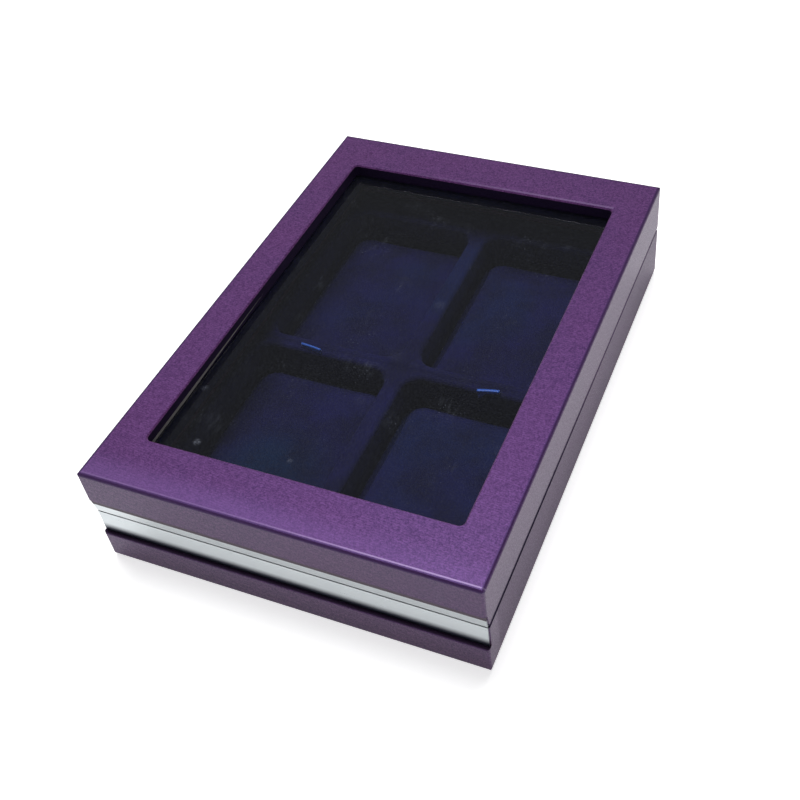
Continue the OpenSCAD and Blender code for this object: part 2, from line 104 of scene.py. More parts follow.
class Value:
    """A shader socket that can be used in Python expressions.

    Args:
        shader: The shader whose tree holds the socket.
        socket: The output socket.
    """

    def __init__(self, shader: "Shader", socket: bpy.types.NodeSocket) -> None:
        """Keeps the shader and the socket."""
        self.shader = shader
        self.socket = socket

    def _math(self, operation: str, *terms: "Value | float") -> "Value":
        """Adds one Math node and returns its output."""
        return self.shader.node("ShaderNodeMath", dict(zip(range(len(terms)), terms)), operation=operation)

    def __add__(self, other: "Value | float") -> "Value":
        """Adds two values."""
        return self._math("ADD", self, other)

    __radd__ = __add__

    def __sub__(self, other: "Value | float") -> "Value":
        """Takes a value from this one."""
        return self._math("SUBTRACT", self, other)

    def __rsub__(self, other: float) -> "Value":
        """Takes this value from a number."""
        return self._math("SUBTRACT", other, self)

    def __mul__(self, other: "Value | float") -> "Value":
        """Multiplies two values."""
        return self._math("MULTIPLY", self, other)

    __rmul__ = __mul__

    def __gt__(self, other: "Value | float") -> "Value":
        """Is 1 where this value is greater, and 0 elsewhere."""
        return self._math("GREATER_THAN", self, other)

    def __lt__(self, other: "Value | float") -> "Value":
        """Is 1 where this value is smaller, and 0 elsewhere."""
        return self._math("LESS_THAN", self, other)

    def size(self) -> "Value":
        """This value without its sign."""
        return self._math("ABSOLUTE", self)

    def sine(self) -> "Value":
        """The sine of this value in radians."""
        return self._math("SINE", self)

    def least(self, other: "Value | float") -> "Value":
        """The smaller of this value and another."""
        return self._math("MINIMUM", self, other)

    def clipped(self) -> "Value":
        """This value held between 0 and 1."""
        return self.shader.node("ShaderNodeClamp", {"Value": self})

    def between(self, low: float, high: float) -> "Value":
        """Maps low to 0 and high to 1, smoothly and held at both ends.

        Args:
            low: The value that becomes 0.
            high: The value that becomes 1.

        Returns:
            The mapped value.
        """
        ends = {"Value": self, "From Min": low, "From Max": high}
        return self.shader.node("ShaderNodeMapRange", ends, interpolation_type="SMOOTHSTEP")


class Shader:
    """A material and its node tree.

    Args:
        name: The material's name.
    """

    def __init__(self, name: str) -> None:
        """Makes the material with an empty tree."""
        self.material = bpy.data.materials.new(name)
        self.material.use_nodes = True
        self.tree = self.material.node_tree
        self.tree.nodes.clear()
        self.output = self.tree.nodes.new("ShaderNodeOutputMaterial")

    def node(
        self, kind: str, inputs: dict | None = None, output: int | str = 0, **settings: object
    ) -> Value:
        """Adds a node of any type.

        Args:
            kind: The node's type.
            inputs: Values or links by the socket's name or number.
            output: The name or number of the output that is returned.
            settings: The node's own settings, which are set first.

        Returns:
            The wrapped output socket.
        """
        node = self.tree.nodes.new(kind)
        for key, setting in settings.items():
            setattr(node, key, setting)
        for key, value in (inputs or {}).items():
            self.feed(node.inputs[key], value)
        return Value(self, node.outputs[output])

    def feed(self, socket: bpy.types.NodeSocket, value: "Value | float | Sequence[float]") -> None:
        """Links a wrapped socket to an input, or sets the input's own value.

        Args:
            socket: The input.
            value: The wrapped socket, or the value.
        """
        if isinstance(value, Value):
            self.tree.links.new(value.socket, socket)
        elif socket.type == "RGBA" and len(value) == 3:
            socket.default_value = (*value, 1)
        else:
            socket.default_value = value

    def mix(
        self, share: "Value | float", first: "Value | Colour", second: "Value | Colour", blend: str = "MIX"
    ) -> Value:
        """Blends two colours.

        Args:
            share: How much of the second colour there is.
            first: The colour at share 0.
            second: The colour at share 1.
            blend: How they are blended.

        Returns:
            The blended colour.
        """
        inputs = {0: share, 6: first, 7: second}
        return self.node("ShaderNodeMix", inputs, output=2, data_type="RGBA", blend_type=blend)

    def vector(self, operation: str, place: Value, other: Point, output: int | str = 0) -> Value:
        """Adds a Vector Math node and returns one of its outputs."""
        return self.node("ShaderNodeVectorMath", {0: place, 1: other}, output=output, operation=operation)

    def place(self) -> Value:
        """The piece's own coordinates, in metres."""
        return self.node("ShaderNodeTexCoord", output="Object")

    def parts(self, place: Value) -> tuple[Value, Value, Value]:
        """The three coordinates of a place."""
        split = self.node("ShaderNodeSeparateXYZ", {0: place}).socket.node
        return tuple(Value(self, split.outputs[axis.value]) for axis in Axis)

    def level(self) -> Value:
        """Is 1 on the piece's level faces and 0 on its upright ones."""
        facing = self.node("ShaderNodeTexCoord", output="Normal")
        return self.parts(facing)[Axis.Z.value].size().between(UPRIGHT_UP_TO, LEVEL_FROM)

    def spot(self, place: Value, middle: Point, radius: float) -> Value:
        """Is 1 in the middle of a soft round spot and 0 outside it."""
        away = self.vector("DISTANCE", place, middle, output="Value")
        return 1 - away.between(SPOT_CORE * radius, radius)

    def along(self, place: Value, direction: Point) -> Value:
        """How far a place lies along a direction."""
        return self.vector("DOT_PRODUCT", place, direction, output="Value")

    def scaled(self, place: Value, factors: Point) -> Value:
        """A place with each axis scaled."""
        return self.vector("MULTIPLY", place, factors)

    def noise(self, place: Value, size: float, detail: float = 2.0, rough: float = 0.5) -> Value:
        """Smooth noise, about 0 to 1.

        Args:
            place: Where it is read.
            size: The size of its patches, in metres.
            detail: How many finer layers it has.
            rough: How strong the finer layers are.

        Returns:
            The noise value.
        """
        settings = {"Vector": place, "Scale": 1 / size, "Detail": detail, "Roughness": rough}
        return self.node("ShaderNodeTexNoise", settings)

    def bump(self, height: Value, depth: float, strength: float = 1.0) -> Value:
        """A normal raised by a height of 0 to 1 that stands for depth metres."""
        return self.node("ShaderNodeBump", {"Height": height, "Distance": depth, "Strength": strength})

    def surface(self, shade: Value) -> bpy.types.Material:
        """Sets the material's surface and returns the material."""
        self.tree.links.new(shade.socket, self.output.inputs["Surface"])
        return self.material

    def principled(self, **inputs: object) -> Value:
        """Adds a Principled shader.

        Args:
            inputs: Values or links by the socket's name, with underscores for spaces.

        Returns:
            The wrapped shader.
        """
        names = {key.replace("_", " "): value for key, value in inputs.items()}
        names = {key.replace("IOR level", "IOR Level"): value for key, value in names.items()}
        return self.node("ShaderNodeBsdfPrincipled", names)


@dataclass(frozen=True)
class Fade:
    """A share that changes steadily along one axis of the box.

    Attributes:
        start: Where the change begins.
        end: Where it ends.
        share: The share up to the beginning.
        gain: How much has been added at the end.
    """

    start: float
    end: float
    share: float
    gain: float

    def at(self, place: Value) -> Value:
        """The share at a place on the axis."""
        return self.share + place.between(self.start, self.end) * self.gain


@dataclass(frozen=True)
class Opening:
    """The window's opening in the lid, whose walls are coloured near black.

    Attributes:
        left: Its left wall.
        right: Its right wall.
        front: Its front wall.
        back: Its back wall.
        foot: Height at which its walls stand on the pane.
        brim: Height at which the purple paper turns over into it.
        bare_end: Where the bare board begins to show at the foot of the dark left wall.
        bare_top: Slope of the upper edge of the bare board.
        bare_foot: Slope of its lower edge.
        bare_height: Height of the bare board where it begins.
        reach: How far the mask of the dark walls reaches past the walls.
    """

    left: float = -48.3 * MM
    right: float = 47.9 * MM
    front: float = -69.2 * MM
    back: float = 69.1 * MM
    foot: float = 33.4 * MM
    brim: float = 37.1 * MM
    bare_end: float = 0.0
    bare_top: float = 0.007
    bare_foot: float = 0.031
    bare_height: float = 34.9 * MM
    reach: float = 0.2 * MM

    def lining(self, parts: tuple[Value, Value, Value]) -> Value:
        """Masks the walls of the opening.

        Args:
            parts: The three coordinates of a place.

        Returns:
            1 on the walls and 0 elsewhere.
        """
        x, y, z = parts
        across = (x > self.left - self.reach) * (x < self.right + self.reach)
        along = (y > self.front - self.reach) * (y < self.back + self.reach)
        return across * along * (z < self.brim) * (z > self.foot - self.reach)

    def bare_board(self, parts: tuple[Value, Value, Value]) -> Value:
        """Masks the wedge of bare board at the foot of the left wall.

        Args:
            parts: The three coordinates of a place.

        Returns:
            1 on the bare board and 0 elsewhere.
        """
        x, y, z = parts
        down = self.bare_end - y
        under = z < (self.bare_height - down * self.bare_top)
        over = z > (self.bare_height - down * self.bare_foot)
        return (x < self.left + self.reach) * (y < self.bare_end) * under * over


@dataclass(frozen=True)
class PaintedEdgeLight:
    """Painted highlights, painted sheen and painted shade along the edges of the lid's top.

    Attributes:
        half_width: Half the lid's width.
        half_depth: Half its depth.
        top: Height of its top.
        line: Width of the painted shade line along the edges.
        shade_line_share: How strong it is.
        turn: How far it reaches down over the front edge.
        highlight_line: Near and far ends of the painted highlight line behind the front edge.
        highlight_line_share: How strong it is, from left to right.
        sheen_band: Near and far ends of the paler stretch of painted sheen behind it.
        sheen_band_share: How strong it is, from left to right.
        lip: Near and far ends of the painted highlight line behind the window.
        lip_share: How strong it is, from left to right.
        dark: Colour of the painted shade line.
        bright: Colour of the painted highlight lines.
        pale: Colour of the painted sheen.
    """

    half_width: float = 60.0 * MM
    half_depth: float = 86.3 * MM
    top: float = 37.6 * MM
    line: float = 1.05 * MM
    shade_line_share: float = 0.8
    turn: float = 0.8 * MM
    highlight_line: tuple[float, float] = (1.0 * MM, 1.5 * MM)
    highlight_line_share: Fade = Fade(-20 * MM, 50 * MM, 0.1, 0.5)
    sheen_band: tuple[float, float] = (2 * MM, 11 * MM)
    sheen_band_share: Fade = Fade(-20 * MM, 40 * MM, 0.36, -0.16)
    lip: tuple[float, float] = (0.6 * MM, 1.5 * MM)
    lip_share: Fade = Fade(-40 * MM, 30 * MM, 0.0, 0.14)
    dark: Colour = linear(46, 28, 60)
    bright: Colour = linear(205, 182, 225)
    pale: Colour = linear(125, 95, 155)

    def paint(
        self, shader: Shader, parts: tuple[Value, Value, Value], colour: Value, opening: Opening
    ) -> Value:
        """Paints the highlight and shade lines and the painted sheen over a colour.

        Args:
            shader: The paper's shader.
            parts: The three coordinates of a place on it.
            colour: The paper's colour.
            opening: The window's opening.

        Returns:
            The painted colour.
        """
        x, y, z = parts
        level = shader.level()
        behind = y + self.half_depth
        # Painted sheen: a paler stretch behind the front edge of the top.
        pale = (1 - behind.between(*self.sheen_band)) * level
        colour = shader.mix(pale * self.sheen_band_share.at(x), colour, self.pale)
        # Painted highlight: a thin bright line just behind the front edge.
        highlight_line = (behind > self.highlight_line[0]) * (behind < self.highlight_line[1]) * level
        colour = shader.mix(highlight_line * self.highlight_line_share.at(x), colour, self.bright)
        # Painted highlight: a thin bright line behind the window's back edge.
        beyond = y - opening.back
        lip = (beyond > self.lip[0]) * (beyond < self.lip[1]) * (x.size() < opening.right) * level
        colour = shader.mix(lip * self.lip_share.at(x), colour, self.bright)
        # Painted shade: a dark line along all the top's edges, reaching down over the front edge.
        from_edge = (self.half_width - x.size()).least(self.half_depth - y.size())
        front = (behind < self.line) * (z > self.top - self.turn)
        line = ((from_edge < self.line) * level + front).clipped()
        return shader.mix(line * self.shade_line_share, colour, self.dark)


@dataclass(frozen=True)
class PearlPaper:
    """Purple pearl paper with a fine embossed grain of short wavy ridges.

    Attributes:
        name: The material's name.
        deep: Colour in the hollows of the grain.
        bright: Colour on its ridges.
        warm: A redder shade that drifts in and out over the sheet.
        drift: Size of the patches of that shade.
        side_shade_tint: What the colour is multiplied by on the upright faces: painted shade that stands
            in for the pearl showing less there.
        side_coat: How glossy the upright faces are.
        top_coat: How glossy the level faces are.
        coat_roughness: How soft that gloss is.
        black: Colour of the window opening's dark walls, and of the painted shade along the joint between
            the halves.
        board: Colour of bare board.
        pearl: Tint of the pearl's rough shine.
        pearl_index: Its refractive index, which sets how strong the shine is.
        roughness: How soft that shine is.
        speck_gloss: How much less soft it is on the specks.
        dull: How much softer it is where there is no pearl.
        pitch: Distance between two ridges.
        relief: Height of the ridges.
        run: Direction across the ridges, in which they follow each other.
        wave: Size of the waves in the ridges.
        wave_turn: How far the waves shift the ridges, in radians.
        gap: Size of the gaps in the ridges.
        speck: Size of the pearl's specks.
        ridge_share: Share of the ridges in the grain. The specks are the rest.
        parting: Height of the joint between the halves, along which a dark band of painted shade lies.
        parting_reach: How far above and below the joint the painted shade reaches.
        parting_shade_share: How dark the painted shade is, from front to back.
        ledge: Height below which level faces get the painted shade of the base's ledge.
        ledge_shade: Colour of that painted shade.
        opening: The window's opening, on the piece that has it.
    """

    name: str = "purple_pearl_paper"
    deep: Colour = linear(44, 18, 52)
    bright: Colour = linear(110, 69, 121)
    warm: Colour = linear(57, 20, 56)
    drift: float = 30 * MM
    side_shade_tint: Colour = (0.66, 0.66, 0.53)
    side_coat: float = 0.22
    top_coat: float = 0.08
    coat_roughness: float = 0.24
    black: Colour = linear(14, 11, 18)
    board: Colour = linear(132, 130, 122)
    pearl: Colour = (0.50, 0.26, 1.0)
    pearl_index: float = 1.6
    roughness: float = 0.52
    speck_gloss: float = 0.14
    dull: float = 0.4
    pitch: float = 0.70 * MM
    relief: float = 0.035 * MM
    run: Point = (0.10, 0.95, 0.31)
    wave: float = 1.5 * MM
    wave_turn: float = 8.0
    gap: float = 1.0 * MM
    speck: float = 0.55 * MM
    ridge_share: float = 0.35
    parting: float = 20.6 * MM
    parting_reach: float = 1.0 * MM
    parting_shade_share: Fade = Fade(-50 * MM, 30 * MM, 1.0, -0.8)
    ledge: float = 12 * MM
    ledge_shade: Colour = linear(56, 42, 60)
    opening: Opening | None = None

    def build(self) -> bpy.types.Material:
        """Builds the material.

        Returns:
            The material.
        """
        shader = Shader(self.name)
        place = shader.place()
        parts = shader.parts(place)
        speck = shader.noise(place, self.speck, detail=2.0, rough=0.9).between(0.3, 0.7)
        grain = self.ridges(shader, place) * self.ridge_share + speck * (1 - self.ridge_share)
        drift = shader.noise(place, self.drift, detail=3.0).between(0.35, 0.7)
        ground = shader.mix(drift, self.deep, self.warm)
        colour = shader.mix(grain.clipped(), ground, self.bright)
        level = shader.level()
        # Painted shade: the upright faces are darker and greyer than the level ones.
        side = shader.mix(1.0, colour, self.side_shade_tint, blend="MULTIPLY")
        colour = shader.mix(level, side, colour)
        _, y, z = parts
        # Painted shade: the level faces of the base's ledge are darkened.
        ledge = level * (z < self.ledge) * (z > 0.5 * self.ledge)
        colour = shader.mix(ledge, colour, self.ledge_shade)
        # Painted shade: a dark band along the joint between the halves, strongest at the front.
        joint_shade = ((z - self.parting).size() < self.parting_reach) * self.parting_shade_share.at(y)
        colour = shader.mix(joint_shade, colour, self.black)
        shine = (1 - joint_shade) * (1 - ledge)
        if self.opening:
            # Painted highlights, painted sheen and painted shade lines along the edges of the lid's top.
            colour = PaintedEdgeLight().paint(shader, parts, colour, self.opening)
            # The opening's walls are coloured near black.
            lining = self.opening.lining(parts)
            colour = shader.mix(lining, colour, self.black)
            colour = shader.mix(lining * self.opening.bare_board(parts), colour, self.board)
            shine = shine * (1 - lining)
        shade = shader.principled(
            Base_Color=colour,
            Roughness=(self.roughness - speck * self.speck_gloss + (1 - shine) * self.dull),
            IOR=self.pearl_index,
            Specular_Tint=(*self.pearl, 1),
            Coat_Weight=shine * (self.side_coat + level * (self.top_coat - self.side_coat)),
            Coat_Roughness=self.coat_roughness,
            Normal=shader.bump(grain, self.relief, 0.7),
        )
        return shader.surface(shade)

    def ridges(self, shader: Shader, place: Value) -> Value:
        """The short wavy ridges of the grain.

        Args:
            shader: The paper's shader.
            place: A place on the paper.

        Returns:
            1 on top of a ridge and 0 between ridges and in the gaps.
        """
        wave = shader.noise(place, self.wave, detail=1.0)
        phase = shader.along(place, self.run) * (2 * math.pi / self.pitch) + wave * self.wave_turn
        whole = shader.noise(place, self.gap, detail=0.0).between(0.36, 0.6)
        return (phase.sine() * 0.5 + 0.5) * whole


@dataclass(frozen=True)
class SilverPaper:
    """Smooth silver paper with a very fine brushed sheen.

    Attributes:
        name: The material's name.
        tone: Its colour.
        shade: Its slightly darker colour in the streaks.
        foot_shade: Colour at its foot: painted shade and a painted reflection of the dark ledge.
        foot: Heights at which the painted foot shade is full and gone.
        turn: Colour of the purple paper that is turned over the lid's strip.
        turn_z: Height at which that paper ends.
        streak: Width of the streaks.
        mottle: Size of the patches.
        metal: How metallic it is.
        roughness: How soft its shine is, away from the streaks.
    """

    name: str = "silver_paper"
    tone: Colour = linear(215, 221, 223)
    shade: Colour = linear(202, 209, 212)
    foot_shade: Colour = linear(40, 42, 58)
    foot: tuple[float, float] = (12.3 * MM, 15.3 * MM)
    turn: Colour = linear(72, 56, 73)
    turn_z: float = 23.9 * MM
    streak: float = 0.5 * MM
    mottle: float = 9 * MM
    metal: float = 0.85
    roughness: float = 0.24

    def build(self) -> bpy.types.Material:
        """Builds the material.

        Returns:
            The material.
        """
        shader = Shader(self.name)
        place = shader.place()
        streaks = shader.noise(shader.scaled(place, (0.04, 1.0, 1.0)), self.streak, detail=3.0)
        mottle = shader.noise(place, self.mottle, detail=2.0)
        colour = shader.mix((streaks * 0.6 + mottle * 0.4).clipped(), self.shade, self.tone)
        height = shader.parts(place)[Axis.Z.value]
        # Painted shade and painted reflection: the strip darkens towards its foot, above the dark ledge.
        colour = shader.mix(height.between(*self.foot), self.foot_shade, colour)
        turned = height > self.turn_z
        colour = shader.mix(turned, colour, self.turn)
        shade = shader.principled(
            Base_Color=colour,
            Metallic=(1 - turned) * self.metal,
            Roughness=(self.roughness + streaks * 0.12 + turned * 0.3),
            Normal=shader.bump(streaks, 0.01 * MM, 0.5),
        )
        return shader.surface(shade)


@dataclass(frozen=True)
class Velvet:
    """Short-piled velvet whose nap lies in brushed patches.

    Attributes:
        name: The material's name.
        shadow: Colour where the pile stands up.
        lit: Colour where it lies over.
        cool: A greener shade in some of the patches.
        sheen: How much the pile's tips shine.
        sheen_tint: Colour of that shine.
        pile: Size of the pile's tufts.
        patch: Size of the brushed patches.
        brushed: Middle of a round stretch that is greener.
        brushed_size: Its radius.
    """

    name: str = "indigo_velvet"
    shadow: Colour = linear(16, 15, 46)
    lit: Colour = linear(30, 29, 88)
    cool: Colour = linear(14, 46, 84)
    sheen: float = 0.35
    sheen_tint: Colour = linear(110, 112, 190)
    pile: float = 0.45 * MM
    patch: float = 13 * MM
    brushed: Point = (-25 * MM, -50 * MM, 13 * MM)
    brushed_size: float = 24 * MM

    def build(self) -> bpy.types.Material:
        """Builds the material.

        Returns:
            The material.
        """
        shader = Shader(self.name)
        place = shader.place()
        nap = shader.noise(place, self.patch, detail=3.0, rough=0.6).between(0.3, 0.7)
        drift = shader.noise(place, 3 * self.patch, detail=1.0).between(0.52, 0.68)
        tint = (drift * 0.4 + shader.spot(place, self.brushed, self.brushed_size)).clipped()
        pile = shader.noise(place, self.pile, detail=2.0, rough=0.9).between(0.25, 0.75)
        lit = shader.mix(tint, self.lit, self.cool)
        colour = shader.mix((nap * 0.5 + pile * 0.45).clipped(), self.shadow, lit)
        shade = shader.principled(
            Base_Color=colour,
            Roughness=(0.82 + pile * 0.15),
            Specular_IOR_level=0.15,
            Sheen_Weight=self.sheen,
            Sheen_Roughness=0.35,
            Sheen_Tint=(*self.sheen_tint, 1),
            Normal=shader.bump(pile, 0.12 * MM, 0.7),
        )
        return shader.surface(shade)


@dataclass(frozen=True)
class Satin:
    """Bright blue satin ribbon with fine cross threads.

    Attributes:
        name: The material's name.
        thread: Colour of the raised threads.
        hollow: Colour between them.
    """

    name: str = "blue_satin"
    thread: Colour = linear(64, 128, 236)
    hollow: Colour = linear(30, 78, 190)

    def build(self) -> bpy.types.Material:
        """Builds the material.

        Returns:
            The material.
        """
        shader = Shader(self.name)
        place = shader.place()
        threads = shader.noise(shader.scaled(place, (1.0, 0.1, 0.1)), 0.16 * MM, detail=1.0)
        shade = shader.principled(
            Base_Color=shader.mix(threads, self.hollow, self.thread),
            Roughness=(0.3 + threads * 0.15),
            Sheen_Weight=0.3,
            Normal=shader.bump(threads, 0.03 * MM),
        )
        return shader.surface(shade)


@dataclass(frozen=True)
class Smudge:
    """A smudge on the pane.

    Attributes:
        x: Its place across the box, in millimetres.
        y: Its place along the box, in millimetres.
        radius: Its radius, in millimetres.
        strength: How much dust there is in its middle.
    """

    x: float
    y: float
    radius: float
    strength: float


@dataclass(frozen=True)
class ClearPane:
    """A clear pane with a little dust and a few smudges on it.

    Attributes:
        name: The material's name.
        tint: Colour of what passes through.
        dust: Colour of the dust and smudges.
        index: Refractive index of the pane.
        polish: Roughness of its faces.
        faces: How much stronger two faces reflect than one.
        face: Height of its upper face.
        speck_share: How thick the dust is on single specks.
        wipe_share: How thick it is in wiped patches.
        grain_share: How thick its coarser grain is everywhere.
        fine_share: How thick its finer grain is everywhere.
        haze: What there is everywhere.
        smudges: The smudges.
    """

    name: str = "clear_pane"
    tint: Colour = (0.93, 0.94, 0.95)
    dust: Colour = linear(150, 156, 172)
    index: float = 1.5
    polish: float = 0.03
    faces: float = 1.7
    face: float = 33.4 * MM
    speck_share: float = 0.4
    wipe_share: float = 0.05
    grain_share: float = 0.012
    fine_share: float = 0.045
    haze: float = 0.002
    smudges: tuple[Smudge, ...] = (
        Smudge(-36.4, -62.7, 1.6, 0.55),
        Smudge(-45.5, -43.2, 1.5, 0.22),
        Smudge(-7.5, -60.7, 1.2, 0.22),
        Smudge(1.3, -33.5, 2.5, 0.05),
        Smudge(12.9, -39.3, 2.5, 0.05),
        Smudge(37.6, 50.9, 2.0, 0.08),
        Smudge(8.0, 11.8, 2.6, 0.12),
        Smudge(4.1, -13.0, 3.5, 0.04),
    )

    def build(self) -> bpy.types.Material:
        """Builds the material.

        Returns:
            The material.
        """
        shader = Shader(self.name)
        place = shader.place()
        through = shader.node("ShaderNodeBsdfTransparent", {"Color": self.tint})
        gloss = shader.node("ShaderNodeBsdfGlossy", {"Color": (1.0, 1.0, 1.0), "Roughness": self.polish})
        powder = shader.node("ShaderNodeBsdfDiffuse", {"Color": self.dust})
        front = 1 - shader.node("ShaderNodeNewGeometry", output="Backfacing")
        facing = shader.node("ShaderNodeFresnel", {"IOR": self.index}) * front * self.faces
        clear = shader.node("ShaderNodeMixShader", {0: facing, 1: through, 2: gloss})
        dusty = self.thickness(shader, place)
        return shader.surface(shader.node("ShaderNodeMixShader", {0: dusty, 1: clear, 2: powder}))

    def thickness(self, shader: Shader, place: Value) -> Value:
        """How thick the dust and the smudges lie.

        Args:
            shader: The pane's shader.
            place: A place on the pane.

        Returns:
            The share of the pane that they cover.
        """
        specks = shader.noise(place, 0.55 * MM, detail=0.0) > 0.80
        patches = shader.noise(place, 16 * MM, detail=3.0, rough=0.6).between(0.52, 0.75)
        wiped = shader.noise(shader.scaled(place, (1.0, 0.25, 1.0)), 1.4 * MM, detail=3.0)
        grains = shader.noise(place, 0.4 * MM, detail=2.0, rough=0.8).between(0.35, 0.75)
        fine = shader.noise(place, 0.5 * MM, detail=2.0, rough=0.9).between(0.45, 0.8)
        dust = (specks * self.speck_share + wiped.between(0.5, 0.75) * self.wipe_share) * patches
        dust = dust + grains * self.grain_share + fine * self.fine_share + self.haze
        for smudge in self.smudges:
            middle = (smudge.x * MM, smudge.y * MM, self.face)
            spot = shader.spot(place, middle, smudge.radius * MM)
            dust = dust + spot * smudge.strength * grains
        return dust.clipped()


@dataclass(frozen=True)
class PlatedSteel:
    """Nickel-plated steel with fine rolling marks.

    Attributes:
        name: The material's name.
        tone: Its colour.
    """

    name: str = "nickel_plated_steel"
    tone: Colour = linear(196, 192, 184)

    def build(self) -> bpy.types.Material:
        """Builds the material.

        Returns:
            The material.
        """
        shader = Shader(self.name)
        place = shader.place()
        marks = shader.noise(shader.scaled(place, (0.06, 1.0, 1.0)), 0.3 * MM, detail=3.0)
        stain = shader.noise(place, 4 * MM, detail=3.0)
        dull = tuple(0.72 * channel for channel in self.tone)
        shade = shader.principled(
            Base_Color=shader.mix((marks * 0.3 + stain * 0.3).clipped(), self.tone, dull),
            Metallic=1.0,
            Roughness=(0.2 + stain * 0.2),
            Normal=shader.bump(marks, 0.01 * MM),
        )
        return shader.surface(shade)


@dataclass(frozen=True)
class FibreSheet:
    """Board or felt with visible fibres.

    Attributes:
        name: The material's name.
        dark: Colour between the fibres.
        light: Colour of the fibres.
    """

    name: str
    dark: Colour
    light: Colour

    def build(self) -> bpy.types.Material:
        """Builds the material.

        Returns:
            The material.
        """
        shader = Shader(self.name)
        place = shader.place()
        fibres = shader.noise(place, 0.5 * MM, detail=4.0, rough=0.7)
        patches = shader.noise(place, 7 * MM, detail=2.0)
        shade = shader.principled(
            Base_Color=shader.mix((fibres * 0.7 + patches * 0.3).clipped(), self.dark, self.light),
            Roughness=0.9,
            Specular_IOR_level=0.2,
            Normal=shader.bump(fibres, 0.08 * MM, 0.6),
        )
        return shader.surface(shade)


def new_piece(
    name: str, points: Sequence[Point], faces: Sequence[Sequence[int]], material: bpy.types.Material
) -> bpy.types.Object:
    """Makes a smooth-shaded piece from points and faces.

    Args:
        name: The piece's name.
        points: Its corners.
        faces: Its faces, as numbers of corners.
        material: Its finish.

    Returns:
        The new object, in the scene.
    """
    mesh = bpy.data.meshes.new(name)
    mesh.from_pydata([tuple(point) for point in points], [], [tuple(face) for face in faces])
    work = bmesh.new()
    work.from_mesh(mesh)
    bmesh.ops.remove_doubles(work, verts=work.verts, dist=WELD)
    bmesh.ops.recalc_face_normals(work, faces=work.faces)
    work.to_mesh(mesh)
    work.free()
    mesh.materials.append(material)
    for polygon in mesh.polygons:
        polygon.use_smooth = True
    piece = bpy.data.objects.new(name, mesh)
    bpy.context.scene.collection.objects.link(piece)
    return piece


def ring_faces(rings: int, size: int, start: int = 0) -> list[tuple[int, ...]]:
    """The faces between closed rings of points that follow each other.

    Args:
        rings: How many rings there are.
        size: Points in each ring.
        start: Number of the first ring's first point.

    Returns:
        Faces of four corners, as numbers of points.
    """
    faces = []
    for row in range(rings - 1):
        for place in range(size):
            here = start + row * size + place
            beside = start + row * size + (place + 1) % size
            faces.append((here, beside, beside + size, here + size))
    return faces


def oval(count: int, half_w: float, half_d: float, radius: float) -> list[tuple[float, float]]:
    """Points around a rectangle with round corners, starting on the right and turning left.

    Args:
        count: Points on each straight side and on each corner.
        half_w: Half the width.
        half_d: Half the depth.
        radius: Radius of the corners.

    Returns:
        The points, centred on 0.
    """
    points = []
    corners = ((1, 1), (-1, 1), (-1, -1), (1, -1))
    for quarter, (side_x, side_y) in enumerate(corners):
        centre_x = side_x * (half_w - radius)
        centre_y = side_y * (half_d - radius)
        for step in range(count + 1):
            angle = math.radians(90 * (quarter + step / count))
            points.append((centre_x + radius * math.cos(angle), centre_y + radius * math.sin(angle)))
        next_x, next_y = corners[(quarter + 1) % 4]
        end = points[-1]
        angle = math.radians(90 * (quarter + 1))
        start = (
            next_x * (half_w - radius) + radius * math.cos(angle),
            next_y * (half_d - radius) + radius * math.sin(angle),
        )
        for step in range(1, count):
            share = step / count
            points.append((end[0] + share * (start[0] - end[0]), end[1] + share * (start[1] - end[1])))
    return points


@dataclass
class Well:
    """One well of the tray, in plan.

    Attributes:
        name: The well's name.
        x: Middle of the well across the box.
        y: Middle of the well along the box.
        pad: The node of its pad.
    """

    name: str
    x: float
    y: float
    pad: str


